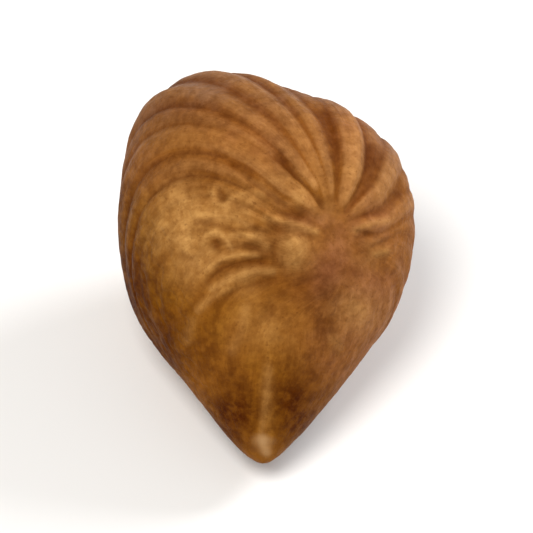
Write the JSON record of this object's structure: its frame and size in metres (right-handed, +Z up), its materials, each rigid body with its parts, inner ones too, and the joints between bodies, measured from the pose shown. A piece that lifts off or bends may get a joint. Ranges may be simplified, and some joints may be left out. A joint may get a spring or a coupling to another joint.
{
  "type": "hazelnut kernel",
  "caption": "Shelled raw hazelnut kernel in its brown ridged skin, plump with a pointed tip, lying on its side.",
  "frame": {"origin": "middle of the kernel's box, on the surface that it lies on", "axes": "+Z up from the flat it rests on, the tip points to -Y and down, the skin's scar faces up and forward"},
  "size_m": [0.0126, 0.0158, 0.012],
  "materials": {
    "skin": "matte"
  },
  "bodies": {
    "root": {"kernel": "skin"}
  },
  "joints": []
}
